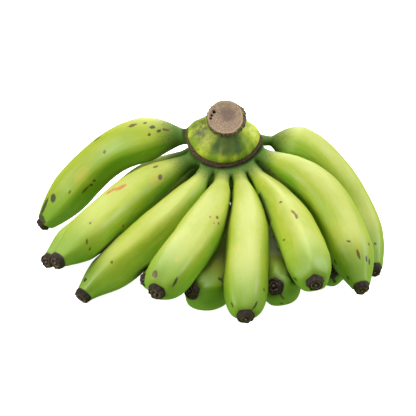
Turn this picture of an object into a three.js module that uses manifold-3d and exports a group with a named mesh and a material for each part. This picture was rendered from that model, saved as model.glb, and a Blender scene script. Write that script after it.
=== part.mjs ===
// A hand of green plantains on its cut piece of bunch stalk, resting on a table on its fingertips.
// Millimetres, +Z up, the front is -Y. Each fruit (a "finger") is a solid, its dried blossom end is
// another, and the cut stalk with its cushion and the fused necks of the fruit is one: the crown.
import * as THREE from "three";
import { mergeVertices } from "three/addons/utils/BufferGeometryUtils.js";
import Module from "manifold-3d";

const wasm = await Module();
wasm.setup();

// ---- Driving dimensions -----------------------------------------------------------------------
const crownFoot = [17.7, 80.7]; // where the crown's middle stands over the table, x and y
const crownHeight = 109; // the scar ring's middle over the table
const crownLean = 40; // degrees that the stalk's axis leans to the front
const girth = 20.4; // radius that every finger's size is a share of
const ridgeCount = 5; // a plantain is angular: five blunt ridges run along it
const ridgeDepth = 0.035; // share of the radius that a ridge stands proud of the round
const neckLength = 27; // of a finger's own length, from inside the crown, that is fused to it
const neckShare = 0.36; // the neck's radius as a share of the finger's, where no other is given
const neckFlare = 1.8; // how much thicker a neck is at its root, where it runs into its neighbours
const endShare = 0.38; // the radius at the blossom end as a share of the finger's
const blossomLength = 5.5;
const stumpDrift = 1.9; // how far the stalk's cut face stands to the right of the ring's middle
const fanTurn = 6; // degrees that the cushion's broad side is turned round the stalk
const gap = 0.3; // clearance between a finger and its neck and its blossom end
const pressGap = 0.7; // clearance between two fingers whose flanks are pressed together
const mergeDistance = 1e-3; // vertices this close are one

// How finely the solids are faceted.
const fingerSides = 15; // three to a ridge
const fingerStations = 18;
const neckStations = 5;
const blossomSides = 10;
const crownSides = 40;
const sampleCount = 60; // points along a finger that its neighbours are measured from

// Each finger, from the left round the front to the right:
//   at        where it leaves the crown, degrees round the axis (0 right, 90 front, 180 left)
//   away      the way it sets out: degrees round the axis, and rise over the ring's plane
//   tip       its end: x and y from the crown's foot, z over the table
//   aim       the way its end points: degrees round the upright, and pitch over level
//   bow       how far both ends hold their direction, as shares of the straight length
//   size      its full radius as a share of girth
//   onset     length of slim neck before it swells
//   shoulder  length over which it swells to full radius
//   taper     length from full radius to the blossom end
//   dome      0 where that end narrows to a point, 1 where it is a round dome
//   neck      the neck's radius as a share of the finger's, where it is slimmer than the rest
const upperRow = [
  {
    at: 176, away: [184, 8], tip: [-178, 6, 7.6], aim: [165, -45],
    bow: [0.5, 0.39], size: 1, onset: 13, shoulder: 43, taper: 50, dome: 0.35, neck: 0.25,
  },
  {
    at: 133, away: [153, -3], tip: [-146, -131, 42.5], aim: [127, -8],
    bow: [0.52, 0.47], size: 1, onset: 20, shoulder: 85, taper: 44, dome: 0,
  },
  {
    at: 114, away: [111, 20], tip: [-125, -132, 7.8], aim: [129, -22],
    bow: [0.6, 0.22], size: 0.98, onset: 32, shoulder: 85, taper: 42, dome: 0,
  },
  {
    at: 92, away: [88, 20], tip: [-57, -192, 48], aim: [116, -13],
    bow: [0.34, 0.32], size: 0.97, onset: 36, shoulder: 80, taper: 30, dome: 1,
  },
  {
    at: 71, away: [73, 20], tip: [16, -194, 26], aim: [90, -22],
    bow: [0.42, 0.38], size: 0.95, onset: 36, shoulder: 80, taper: 37, dome: 1,
  },
  {
    at: 53, away: [58, 17], tip: [74.5, -175, 46.5], aim: [83, -6],
    bow: [0.46, 0.48], size: 0.95, onset: 36, shoulder: 80, taper: 30, dome: 1,
  },
  {
    at: 31, away: [34, 19], tip: [118, -147, 25.5], aim: [81, -27],
    bow: [0.39, 0.6], size: 0.98, onset: 27, shoulder: 85, taper: 40, dome: 0,
  },
  {
    at: 13, away: [-9, -1], tip: [138, -86, 7.9], aim: [84, -20],
    bow: [0.45, 0.45], size: 0.97, onset: 24, shoulder: 25, taper: 48, dome: 0, neck: 0.24,
  },
];
const lowerRow = [
  {
    at: 158, away: [182, -31], tip: [-160, -95, 22], aim: [118, 5],
    bow: [0.36, 0.6], size: 0.88, onset: 24, shoulder: 70, taper: 40, dome: 0,
  },
  {
    at: 141, away: [152, -46], tip: [-112, -92, 15], aim: [132, -4],
    bow: [0.4, 0.34], size: 0.72, onset: 34, shoulder: 70, taper: 36, dome: 0.5,
  },
  {
    at: 121, away: [116, -52], tip: [-69, -126, 20], aim: [138, 18],
    bow: [0.42, 0.34], size: 0.82, onset: 34, shoulder: 80, taper: 32, dome: 0.9,
  },
  {
    at: 102, away: [90, -46], tip: [-28, -165, 31], aim: [139, 30],
    bow: [0.36, 0.32], size: 0.93, onset: 34, shoulder: 80, taper: 34, dome: 1,
  },
  {
    at: 81, away: [76, -53], tip: [43, -157, 31], aim: [120, 34],
    bow: [0.37, 0.29], size: 0.97, onset: 34, shoulder: 80, taper: 32, dome: 1,
  },
  {
    at: 61, away: [46, -51], tip: [96, -113, 21], aim: [106, 34],
    bow: [0.36, 0.24], size: 0.88, onset: 34, shoulder: 80, taper: 32, dome: 1,
  },
  {
    at: 40, away: [12, -41], tip: [117, -32, 8], aim: [60, -9],
    bow: [0.4, 0.3], size: 0.88, onset: 34, shoulder: 80, taper: 40, dome: 0,
  },
];

// Where a row's centre lines start inside the crown: distance from the axis, and height along it.
const rowRoots = {
  upper: { out: 22, along: -12.5 },
  lower: { out: 20, along: -26 },
};

// The crown down its axis: [height along the axis, radius in front, radius behind]. From the top:
// the cut stalk, the cushion, the scar ring at height 0, and the collar that the necks grow from.
const crownSections = [
  [29, 17.4, 17.4],
  [27.5, 18.2, 18.2],
  [24.5, 17.6, 17.6],
  [21, 18.6, 18],
  [17.5, 22.6, 18.2],
  [13, 29, 19],
  [8.5, 33, 20.2],
  [2.5, 35.2, 21.8],
  [-1.5, 37.4, 23.1],
  [-4.2, 36.2, 23.1],
  [-10, 33, 23],
  [-22, 29, 21.5],
  [-32, 24, 20],
  [-39, 20, 18.5],
  [-41, 18.8, 17.5],
];

// A blossom end down its length: [distance past the finger, share of the end's radius].
const blossomSections = [
  [gap, 0.92],
  [1.8, 1],
  [4.2, 0.9],
  [blossomLength, 0.7],
];

// ---- Directions ---------------------------------------------------------------------------------
const radians = THREE.MathUtils.degToRad;
const smooth = (t) => THREE.MathUtils.smoothstep(t, 0, 1);
const lean = radians(crownLean);
const axis = new THREE.Vector3(0, -Math.sin(lean), Math.cos(lean));
const rightward = new THREE.Vector3(1, 0, 0);
const frontward = new THREE.Vector3(0, -Math.cos(lean), -Math.sin(lean));
const crownCentre = new THREE.Vector3(crownFoot[0], crownFoot[1], crownHeight);

// The unit vector that leaves the crown's axis at an angle round it.
function outward(degrees) {
  const turn = radians(degrees);
  return rightward.clone().multiplyScalar(Math.cos(turn)).addScaledVector(frontward, Math.sin(turn));
}

// The unit vector at an angle round the crown's axis that also rises along it.
function settingOut([degrees, riseDegrees]) {
  const rise = radians(riseDegrees);
  return outward(degrees).multiplyScalar(Math.cos(rise)).addScaledVector(axis, Math.sin(rise));
}

// The unit vector at an angle round the upright, pitched over level.
function heading([yawDegrees, pitchDegrees]) {
  const yaw = radians(yawDegrees);
  const pitch = radians(pitchDegrees);
  return new THREE.Vector3(
    Math.cos(yaw) * Math.cos(pitch), -Math.sin(yaw) * Math.cos(pitch), Math.sin(pitch));
}

// ---- Fingers --------------------------------------------------------------------------------------
// The finger's centre line, from inside the crown to the blossom end.
function centreLine({ at, away, tip, aim, bow }, root) {
  const start = crownCentre.clone().addScaledVector(outward(at), root.out).addScaledVector(axis, root.along);
  const end = new THREE.Vector3(crownFoot[0] + tip[0], crownFoot[1] + tip[1], tip[2]);
  const straight = start.distanceTo(end);
  return new THREE.CubicBezierCurve3(
    start,
    start.clone().addScaledVector(settingOut(away), bow[0] * straight),
    end.clone().addScaledVector(heading(aim), -bow[1] * straight),
    end,
  );
}

// Radius at a distance along a finger: a slim neck, a long shoulder, a full body and an end that
// narrows to a point or closes in a dome.
function radiusAt(distance, finger) {
  const risen = THREE.MathUtils.clamp((distance - finger.onset) / finger.shoulder, 0, 1);
  const grown = Math.sin((risen * Math.PI) / 2) ** 1.1;
  const left = THREE.MathUtils.clamp((finger.length - distance) / finger.taper, 0, 1);
  const pointed = 0.2 * smooth(left) + 0.8 * Math.sin((left * Math.PI) / 2);
  const domed = Math.sqrt(1 - (1 - left) ** 2);
  const full = THREE.MathUtils.lerp(pointed, domed, finger.dome);
  const slim = finger.neck ?? neckShare;
  return finger.full * (slim + (1 - slim) * grown) * (endShare + (1 - endShare) * full);
}

// A finger with everything that its skin is made from. Its samples are what neighbours measure to.
function grow(finger, name, root) {
  const curve = centreLine(finger, root);
  const bendNormal = settingOut(finger.away).cross(heading(finger.aim)).normalize();
  const grown = { ...finger, name, curve, bendNormal, length: curve.getLength(), full: girth * finger.size };
  grown.samples = curve.getSpacedPoints(sampleCount).map((point, i) => (
    { point, radius: radiusAt((i / sampleCount) * grown.length, grown) }));
  return grown;
}

const fingers = [
  ...upperRow.map((finger, i) => grow(finger, `upper_${i + 1}`, rowRoots.upper)),
  ...lowerRow.map((finger, i) => grow(finger, `lower_${i + 1}`, rowRoots.lower)),
];

// Where two neighbours grow against each other their flanks press flat, each giving way to the plane
// that lies as far inside the one's girth as inside the other's. The presses on a section of a
// finger are the directions towards such neighbours, each with the reach that it leaves.
function pressesOn(middle, radius, neighbours) {
  const presses = [];
  for (const { samples } of neighbours) {
    let nearest = { room: Infinity };
    for (const sample of samples) {
      const room = sample.point.distanceTo(middle) - sample.radius;
      if (room < nearest.room) nearest = { ...sample, room };
    }
    if (nearest.room > radius + ridgeDepth * (radius + nearest.radius) + pressGap) continue;
    const apart = nearest.point.distanceTo(middle);
    const reach = (apart ** 2 + radius ** 2 - nearest.radius ** 2) / (2 * apart) - pressGap / 2;
    presses.push({ towards: nearest.point.clone().sub(middle).divideScalar(apart), reach });
  }
  return presses;
}

// A closed skin round part of a finger: stations are [distance, radius] pairs, and a flat end closes
// the first and the last. A sphere's rows of vertices become the sections. Nothing goes below the
// table: what would is flattened on it, as the fruit's own weight does.
function skin(finger, stations, sides, ridge, neighbours) {
  const geometry = new THREE.SphereGeometry(1, sides, stations.length + 1);
  const place = geometry.getAttribute("position");
  const sections = [stations[0], ...stations, stations.at(-1)];
  sections.forEach(([distance, radius], row) => {
    const isPole = row === 0 || row === sections.length - 1;
    const share = Math.min(distance / finger.length, 1);
    const along = finger.curve.getTangentAt(share);
    const middle = finger.curve.getPointAt(share)
      .addScaledVector(along, distance - share * finger.length);
    const side = finger.bendNormal.clone().projectOnPlane(along).normalize();
    const over = side.clone().cross(along);
    const presses = pressesOn(middle, radius, neighbours);
    for (let column = 0; column <= sides; column++) {
      const turn = (column / sides) * 2 * Math.PI;
      const way = side.clone().multiplyScalar(Math.cos(turn)).addScaledVector(over, Math.sin(turn));
      let reach = isPole ? 0 : radius * (1 + ridge * Math.cos(ridgeCount * turn));
      for (const press of presses) {
        const facing = way.dot(press.towards);
        if (facing * reach > press.reach) reach = press.reach / facing;
      }
      const point = middle.clone().addScaledVector(way, reach);
      place.setXYZ(row * (sides + 1) + column, point.x, point.y, Math.max(point.z, 0));
    }
  });
  return geometry;
}

// Stations between two distances along a finger, closer together at both ends, where it tapers.
function stationsBetween(finger, from, to, count) {
  return Array.from({ length: count }, (_, i) => {
    const even = i / (count - 1);
    const bunched = 0.5 - 0.5 * Math.cos(even * Math.PI);
    const distance = THREE.MathUtils.lerp(from, to, THREE.MathUtils.lerp(even, bunched, 0.55));
    return [distance, radiusAt(distance, finger)];
  });
}

function fingerBody(finger) {
  const stations = stationsBetween(finger, neckLength + gap, finger.length, fingerStations);
  const neighbours = fingers.filter((other) => other !== finger);
  return skin(finger, stations, fingerSides, ridgeDepth, neighbours);
}

// A finger's neck, thickest at its root.
function fingerNeck(finger) {
  const stations = stationsBetween(finger, 0, neckLength, neckStations)
    .map(([distance, radius]) => [distance, radius + neckFlare * (1 - smooth((distance - 8) / 15))]);
  return skin(finger, stations, fingerSides, ridgeDepth, []);
}

// The dried remains of the flower: a short plug past the finger's end.
function blossomEnd(finger) {
  const end = endShare * finger.full;
  const stations = blossomSections.map(([past, share]) => [finger.length + past, share * end]);
  return skin(finger, stations, blossomSides, 0, []);
}

// ---- The crown --------------------------------------------------------------------------------------
// Each section swells in front, where the fingers grow, and stays a plain stalk behind.
function crownBody() {
  const geometry = new THREE.SphereGeometry(1, crownSides, crownSections.length + 1);
  const place = geometry.getAttribute("position");
  const sections = [crownSections[0], ...crownSections, crownSections.at(-1)];
  sections.forEach(([along, front, back], row) => {
    const isPole = row === 0 || row === sections.length - 1;
    for (let column = 0; column <= crownSides; column++) {
      const degrees = -360 * (column / crownSides);
      const behind = smooth((0.1 - Math.sin(radians(degrees - fanTurn))) / 0.6);
      const reach = isPole ? 0 : THREE.MathUtils.lerp(front, back, behind);
      const drift = stumpDrift * smooth(along / crownSections[0][0]);
      const point = crownCentre.clone().addScaledVector(axis, along)
        .addScaledVector(rightward, drift).addScaledVector(outward(degrees), reach);
      place.setXYZ(row * (crownSides + 1) + column, point.x, point.y, point.z);
    }
  });
  return geometry;
}

// ---- Solids -------------------------------------------------------------------------------------------
function solid(geometry) {
  const bare = new THREE.BufferGeometry()
    .setIndex(geometry.index)
    .setAttribute("position", geometry.getAttribute("position"));
  const merged = mergeVertices(bare, mergeDistance);
  return new wasm.Manifold(new wasm.Mesh({
    numProp: 3,
    vertProperties: new Float32Array(merged.getAttribute("position").array),
    triVerts: new Uint32Array(merged.index.array),
  }));
}

function geometryOf(manifold) {
  const mesh = manifold.getMesh();
  return new THREE.BufferGeometry()
    .setAttribute("position", new THREE.BufferAttribute(mesh.vertProperties, 3))
    .setIndex(new THREE.BufferAttribute(mesh.triVerts, 1));
}

// ---- Assembly -----------------------------------------------------------------------------------------
const skinGreen = new THREE.MeshStandardMaterial({ color: 0x9cbf3f, roughness: 0.45, metalness: 0 });
const crownGreen = new THREE.MeshStandardMaterial({ color: 0x7f9a3c, roughness: 0.6, metalness: 0 });
const blossomBrown = new THREE.MeshStandardMaterial({ color: 0x4a3a31, roughness: 0.9, metalness: 0 });

const hand = new THREE.Group();
function add(name, geometry, material) {
  const mesh = new THREE.Mesh(geometry, material);
  mesh.name = name;
  hand.add(mesh);
}

let crown = solid(crownBody());
for (const finger of fingers) {
  add(`finger_${finger.name}`, fingerBody(finger), skinGreen);
  add(`blossom_end_${finger.name}`, blossomEnd(finger), blossomBrown);
  crown = crown.add(solid(fingerNeck(finger)));
}
add("crown", geometryOf(crown), crownGreen);

export default hand;
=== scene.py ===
# %% [markdown]
# # A hand of green plantains
# A hand is one tier of a plantain plant's bunch. Two rows of fruit, called fingers, share one crown:
# their necks are fused under a cushion, and above it is the stump of the bunch's stalk, cut across.
# Each finger ends in the dried remains of its flower. The fixed frame holds all of them as plain
# faceted solids. This lesson grows a finer skin over each from the same few formulas.

# %% The fixed frame
import bpy
import numpy as np
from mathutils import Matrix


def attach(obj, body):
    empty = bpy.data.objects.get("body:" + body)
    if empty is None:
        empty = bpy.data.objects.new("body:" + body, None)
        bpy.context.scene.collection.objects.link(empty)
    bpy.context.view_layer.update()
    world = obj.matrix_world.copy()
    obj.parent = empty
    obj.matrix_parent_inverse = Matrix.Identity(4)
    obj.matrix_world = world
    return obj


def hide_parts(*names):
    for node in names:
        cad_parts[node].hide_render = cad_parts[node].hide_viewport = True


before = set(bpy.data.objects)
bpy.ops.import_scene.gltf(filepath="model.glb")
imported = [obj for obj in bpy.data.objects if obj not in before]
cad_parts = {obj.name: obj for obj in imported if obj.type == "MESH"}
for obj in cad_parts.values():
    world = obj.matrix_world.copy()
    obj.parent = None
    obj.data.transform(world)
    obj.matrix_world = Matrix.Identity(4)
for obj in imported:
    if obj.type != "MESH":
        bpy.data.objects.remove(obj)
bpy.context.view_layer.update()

import openvdb
from mathutils import Vector

MM = 0.001
print("CAD nodes:", len(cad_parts))

# %% [markdown]
# ## Camera
# A long lens from a good metre away keeps the fingers' sizes true, as a catalogue picture does. The
# camera looks down at 27 degrees, so both the cut stalk and the tips of the front fingers show.

# %% Camera
camera_target = np.array([2.5, 47.5, 43.8]) * MM
camera_distance = 1100 * MM
camera_pitch = np.radians(27)

camera_data = bpy.data.cameras.new("camera")
camera_data.lens = 100.2
camera_data.sensor_width = 36
camera = bpy.data.objects.new("camera", camera_data)
bpy.context.scene.collection.objects.link(camera)
back_off = np.array([0, -np.cos(camera_pitch), np.sin(camera_pitch)])
camera_place = camera_target + back_off * camera_distance
camera.location = camera_place
camera.rotation_euler = (np.pi / 2 - camera_pitch, 0, 0)
bpy.context.scene.camera = camera
print("camera stands at", np.round(camera_place, 3))

# %% [markdown]
# ## Materials: two small helpers
# Colours are written as a paint maker writes them, as sRGB hex values, and one function turns them
# into the linear numbers that a renderer adds up. One more function adds a node: its settings are
# plain names, and its inputs take either a value or another node's output.


# %% Colour and node helpers
def colour(code):
    """An sRGB hex code as linear red, green, blue and alpha: each channel c is c / 12.92 below 0.04045,
    and otherwise ((c + 0.055) / 1.055) ** 2.4."""
    c = np.array([int(code[i:i + 2], 16) for i in (1, 3, 5)]) / 255
    return [*np.where(c < 0.04045, c / 12.92, ((c + 0.055) / 1.055) ** 2.4), 1.0]


def node(tree, kind, inputs=(), stops=(), **settings):
    """Adds a node. inputs pairs an input's name or number with a value or with another node's output.
    stops pairs a colour ramp's places with colours."""
    made = tree.nodes.new(kind)
    for name, value in settings.items():
        setattr(made, name, value)
    for key, value in dict(inputs).items():
        if isinstance(value, bpy.types.NodeSocket):
            tree.links.new(value, made.inputs[key])
        else:
            made.inputs[key].default_value = value
    for number, (place, paint) in enumerate(stops):
        ramp = made.color_ramp.elements
        stop = ramp[number] if number < 2 else ramp.new(place)
        stop.position = place
        stop.color = paint
    return made


def material(name):
    """An empty material: returns both it and its node tree."""
    made = bpy.data.materials.new(name)
    made.use_nodes = True
    made.node_tree.nodes.clear()
    return made, made.node_tree


# The mix node's colour sockets share their names with its other kinds', so they go by number.
MIX, FIRST, SECOND, MIXED = 0, 6, 7, 2


# %% [markdown]
# ## Studio
# The fruit lies on a broad white table. A wide soft box hangs above it: a large source is what gives a
# waxy skin its long pale highlights, and it leaves the flanks between the fingers deep green. One box
# hangs low behind and rims the far tops, and two at the sides lift the outer fruit. The table is lit
# from within, so that it stays white. What it throws back onto the fruit is dimmer and greener than
# white paper would give, so that the undersides stay deep.

# %% Floor
floor_half = 6.0
floor_mesh = bpy.data.meshes.new("floor")
corners = [(-1, -1, 0), (1, -1, 0), (1, 1, 0), (-1, 1, 0)]
floor_mesh.from_pydata([tuple(floor_half * np.array(c)) for c in corners], [], [(0, 1, 2, 3)])
floor = bpy.data.objects.new("floor", floor_mesh)
bpy.context.scene.collection.objects.link(floor)
floor.location.z = -0.0002

paper, tree = material("matt white lit table")
seen = node(tree, "ShaderNodeLightPath").outputs["Is Camera Ray"]
tone = node(tree, "ShaderNodeMix", {MIX: seen, FIRST: colour("#87965a"), SECOND: colour("#ffffff")},
            data_type="RGBA").outputs[MIXED]
shader = node(tree, "ShaderNodeBsdfPrincipled",
              {"Base Color": tone, "Roughness": 0.9, "Specular IOR Level": 0.1,
               "Emission Color": tone, "Emission Strength": 0.95})
node(tree, "ShaderNodeOutputMaterial", {"Surface": shader.outputs[0]})
floor_mesh.materials.append(paper)

# %% Lights


def hang_light(name, place, size, watts, tint="#ffffff"):
    """A square soft box of that side in metres, turned towards the fruit."""
    data = bpy.data.lights.new(name, "AREA")
    data.shape = "SQUARE"
    data.size = size
    data.energy = watts
    data.color = colour(tint)[:3]
    lamp = bpy.data.objects.new(name, data)
    bpy.context.scene.collection.objects.link(lamp)
    lamp.location = place
    lamp.rotation_euler = (Vector((0, 0, 0.05)) - Vector(place)).to_track_quat("-Z", "Y").to_euler()
    return lamp


hang_light("overhead_soft_box", (0.0, 0.25, 1.2), 1.2, 12.4, "#fffdf8")
hang_light("back_soft_box", (0.0, 1.3, 0.75), 1.0, 9, "#ffffff")
hang_light("left_soft_box", (-1.1, -0.6, 0.7), 0.8, 14, "#fffdf8")
hang_light("right_soft_box", (1.2, 0.15, 0.75), 0.8, 12, "#fbfdff")

world = bpy.data.worlds.new("white studio")
world.use_nodes = True
world.node_tree.nodes["Background"].inputs["Color"].default_value = colour("#f4f8ff")
world.node_tree.nodes["Background"].inputs["Strength"].default_value = 0.28
bpy.context.scene.world = world
bpy.context.scene.view_settings.view_transform = "Standard"

# %% [markdown]
# ## The measures
# These are the hand's driving sizes in millimetres, the same as in the solids. Each finger has its
# place on the crown, its tip's place over the table and the ways that its two ends point.

# %% Driving dimensions
crown_foot = (17.7, 80.7)
crown_height = 109
crown_lean = np.radians(40)
girth = 20.4
ridge_count = 5
ridge_depth = 0.035
neck_length = 27
neck_share = 0.36
end_share = 0.38
press_gap = 0.7
row_roots = {"upper": (22, -12.5), "lower": (20, -26)}

measures = ("at", "away", "tip", "aim", "bow", "size", "onset", "shoulder", "taper", "dome", "neck")
upper_row = [
    (176, (184, 8), (-178, 6, 7.6), (165, -45), (0.5, 0.39), 1.0, 13, 43, 50, 0.35, 0.25),
    (133, (153, -3), (-146, -131, 42.5), (127, -8), (0.52, 0.47), 1.0, 20, 85, 44, 0),
    (114, (111, 20), (-125, -132, 7.8), (129, -22), (0.6, 0.22), 0.98, 32, 85, 42, 0),
    (92, (88, 20), (-57, -192, 48), (116, -13), (0.34, 0.32), 0.97, 36, 80, 30, 1),
    (71, (73, 20), (16, -194, 26), (90, -22), (0.42, 0.38), 0.95, 36, 80, 37, 1),
    (53, (58, 17), (74.5, -175, 46.5), (83, -6), (0.46, 0.48), 0.95, 36, 80, 30, 1),
    (31, (34, 19), (118, -147, 25.5), (81, -27), (0.39, 0.6), 0.98, 27, 85, 40, 0),
    (13, (-9, -1), (138, -86, 7.9), (84, -20), (0.45, 0.45), 0.97, 24, 25, 48, 0, 0.24),
]
lower_row = [
    (158, (182, -31), (-160, -95, 22), (118, 5), (0.36, 0.6), 0.88, 24, 70, 40, 0),
    (141, (152, -46), (-112, -92, 15), (132, -4), (0.4, 0.34), 0.72, 34, 70, 36, 0.5),
    (121, (116, -52), (-69, -126, 20), (138, 18), (0.42, 0.34), 0.82, 34, 80, 32, 0.9),
    (102, (90, -46), (-28, -165, 31), (139, 30), (0.36, 0.32), 0.93, 34, 80, 34, 1),
    (81, (76, -53), (43, -157, 31), (120, 34), (0.37, 0.29), 0.97, 34, 80, 32, 1),
    (61, (46, -51), (96, -113, 21), (106, 34), (0.36, 0.24), 0.88, 34, 80, 32, 1),
    (40, (12, -41), (117, -32, 8), (60, -9), (0.4, 0.3), 0.88, 34, 80, 40, 0),
]

# %% Directions
crown_axis = np.array([0, -np.sin(crown_lean), np.cos(crown_lean)])
rightward = np.array([1.0, 0, 0])
frontward = np.array([0, -np.cos(crown_lean), -np.sin(crown_lean)])
crown_centre = np.array([*crown_foot, crown_height])


def unit(vectors):
    """Vectors divided by their own lengths."""
    return vectors / np.maximum(np.linalg.norm(vectors, axis=-1, keepdims=True), 1e-12)


def smooth(t):
    """The smooth step 3 t^2 - 2 t^3, with t held between 0 and 1."""
    t = np.clip(t, 0, 1)
    return t * t * (3 - 2 * t)


def soft_least(a, b, blend):
    """The lesser of two lengths, with the corner between them rounded off over the blend's length."""
    share = np.clip(0.5 + 0.5 * (b - a) / blend, 0, 1)
    return b + (a - b) * share - blend * share * (1 - share)


def outward(degrees):
    """The unit vector that leaves the crown's axis at an angle round it: right cos + front sin."""
    turn = np.radians(degrees)[..., None]
    return rightward * np.cos(turn) + frontward * np.sin(turn)


def setting_out(degrees, rise):
    """The outward vector tilted up along the crown's axis by the rise."""
    rise = np.radians(rise)
    return outward(np.float64(degrees)) * np.cos(rise) + crown_axis * np.sin(rise)


def heading(yaw, pitch):
    """The unit vector at an angle round the upright, pitched over level."""
    yaw, pitch = np.radians(yaw), np.radians(pitch)
    return np.array([np.cos(yaw) * np.cos(pitch), -np.sin(yaw) * np.cos(pitch), np.sin(pitch)])


# %% [markdown]
# ## Fingers: the centre lines
# A finger grows out from the crown and then turns up or down towards the light. A cubic Bezier has
# just that: a start and a direction, an end and a direction. Its points are then measured along, so
# that every later formula can use true distance from the root.


# %% Centre lines
line_points = 400


def grow(row, number, table):
    """A finger's measures with its centre line: (1-t)^3 a + 3(1-t)^2 t b + 3(1-t) t^2 c + t^3 d."""
    finger = {"neck": neck_share, **dict(zip(measures, table))}
    finger["name"] = f"{row}_{number}"
    finger["seed"] = number + (20 if row == "lower" else 0)
    finger["full"] = girth * finger["size"]
    out, along = row_roots[row]
    start = crown_centre + outward(np.float64(finger["at"])) * out + crown_axis * along
    x, y, z = finger["tip"]
    end = np.array([crown_foot[0] + x, crown_foot[1] + y, z])
    straight = np.linalg.norm(end - start)
    first = setting_out(*finger["away"])
    last = heading(*finger["aim"])
    second = start + first * finger["bow"][0] * straight
    third = end - last * finger["bow"][1] * straight
    t = np.linspace(0, 1, line_points)[:, None]
    line = (1 - t)**3 * start + 3 * (1 - t)**2 * t * second + 3 * (1 - t) * t**2 * third + t**3 * end
    finger["line"] = line
    finger["way"] = unit(np.gradient(line, axis=0))
    finger["run"] = np.append(0, np.cumsum(np.linalg.norm(np.diff(line, axis=0), axis=1)))
    finger["length"] = finger["run"][-1]
    finger["bend_normal"] = unit(np.cross(first, last))
    finger["radii"] = radius_at(finger, finger["run"])
    return finger


def radius_at(finger, distance):
    """A slim neck, a quarter of a sine wave up to full girth, and an end that narrows to a point or
    closes as a dome, sqrt(1 - (1 - left)^2), by the finger's own share of each."""
    risen = np.clip((distance - finger["onset"]) / finger["shoulder"], 0, 1)
    grown = np.sin(risen * np.pi / 2) ** 1.1
    left = np.clip((finger["length"] - distance) / finger["taper"], 0, 1)
    pointed = 0.2 * smooth(left) + 0.8 * np.sin(left * np.pi / 2)
    domed = np.sqrt(1 - (1 - left)**2)
    full = pointed + (domed - pointed) * finger["dome"]
    slim = finger["neck"]
    return finger["full"] * (slim + (1 - slim) * grown) * (end_share + (1 - end_share) * full)


def section_frames(finger, distance):
    """Middle, direction and the two cross directions of the sections at these distances. Past the
    end of the line a section goes straight on."""
    held = np.minimum(distance, finger["length"])
    middle = np.stack([np.interp(held, finger["run"], finger["line"][:, i]) for i in range(3)], -1)
    along = unit(np.stack([np.interp(held, finger["run"], finger["way"][:, i]) for i in range(3)], -1))
    middle = middle + along * (distance - held)[..., None]
    normal = finger["bend_normal"]
    side = unit(normal - along * (along @ normal)[..., None])
    over = np.cross(side, along)
    return middle, along, side, over


fingers = [grow("upper", i, row) for i, row in enumerate(upper_row, 1)]
fingers += [grow("lower", i, row) for i, row in enumerate(lower_row, 1)]
print("finger lengths in mm:", [round(finger["length"]) for finger in fingers])

# %% [markdown]
# ## From a grid of points to a mesh
# Most skins here are grids: rows are sections down the piece, and columns go round it. A pole closes
# each end. The signed volume tells which way round the faces are, so they always end up outwards.


# %% Mesh helpers
def skin_mesh(name, points, materials, attributes=()):
    """A closed skin from rows of rings. Each attribute is a name with one value or vector a vertex,
    as a grid like the points; a pole takes its ring's middle value."""
    rows, columns = points.shape[:2]
    place = np.arange(rows * columns).reshape(rows, columns)
    right = np.roll(place, -1, axis=1)
    quads = np.stack([place[:-1], place[1:], right[1:], right[:-1]], -1).reshape(-1, 4)
    top, bottom = rows * columns, rows * columns + 1
    caps = np.concatenate([np.stack([np.full(columns, top), place[0], right[0]], -1),
                           np.stack([np.full(columns, bottom), right[-1], place[-1]], -1)])
    with_poles = [points.reshape(-1, 3), points[0].mean(0)[None], points[-1].mean(0)[None]]
    grids = {}
    for label, values in dict(attributes).items():
        values = np.asarray(values, float)
        values = np.broadcast_to(values, (rows, columns, *values.shape[2:]))
        grids[label] = np.concatenate([values.reshape(rows * columns, -1),
                                       values[0].reshape(columns, -1).mean(0)[None],
                                       values[-1].reshape(columns, -1).mean(0)[None]])
    return build_mesh(name, np.concatenate(with_poles), [quads, caps], materials, grids)


def build_mesh(name, vertices, face_arrays, materials, attributes):
    """A smooth-shaded object at the origin from points in millimetres, turned outwards: the volume
    under its faces, the sum of a x b . c, comes out positive."""
    a, b, c = (vertices[face_arrays[0][:, i]] for i in range(3))
    flip = -1 if np.einsum("ij,ij->", np.cross(a, b), c) < 0 else 1
    faces = [face for array in face_arrays for face in array[:, ::flip].tolist()]
    mesh = bpy.data.meshes.new(name)
    mesh.from_pydata((vertices * MM).tolist(), [], faces)
    for label, values in attributes.items():
        is_vector = values.shape[-1] == 3
        kind, field = ("FLOAT_VECTOR", "vector") if is_vector else ("FLOAT", "value")
        layer = mesh.attributes.new(label, kind, "POINT")
        layer.data.foreach_set(field, values.astype(np.float32).ravel())
    for paint in materials:
        mesh.materials.append(paint)
    mesh.polygons.foreach_set("use_smooth", np.ones(len(mesh.polygons), bool))
    mesh.update()
    piece = bpy.data.objects.new(name, mesh)
    bpy.context.scene.collection.objects.link(piece)
    return piece


def ripple(place, seed, wavelength, waves=9):
    """Smooth noise from -1 to 1: the mean of sine waves of one length in seeded random directions."""
    rng = np.random.default_rng(seed)
    ways = unit(rng.normal(size=(waves, 3))) * 2 * np.pi / wavelength
    starts = rng.uniform(0, 2 * np.pi, waves)
    return np.sin(place @ ways.T + starts).mean(-1) * 1.8


def through(knots, count):
    """A curve through the knots with that many points to each stretch. Between knots b and c of a run
    a, b, c, d it is b + s (c - a) / 2 + s^2 (2a - 5b + 4c - d) / 2 + s^3 (3b - a - 3c + d) / 2."""
    knots = np.asarray(knots, float)
    run = np.concatenate([2 * knots[:1] - knots[1:2], knots, 2 * knots[-1:] - knots[-2:-1]])
    a, b, c, d = (run[i:len(run) - 3 + i, None] for i in range(4))
    s = (np.arange(count) / count)[None, :, None]
    curve = b + s * (c - a) / 2 + s**2 * (2 * a - 5 * b + 4 * c - d) / 2 + s**3 * (3 * b - a - 3 * c + d) / 2
    return np.concatenate([curve.reshape(-1, knots.shape[1]), knots[-1:]])


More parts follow.
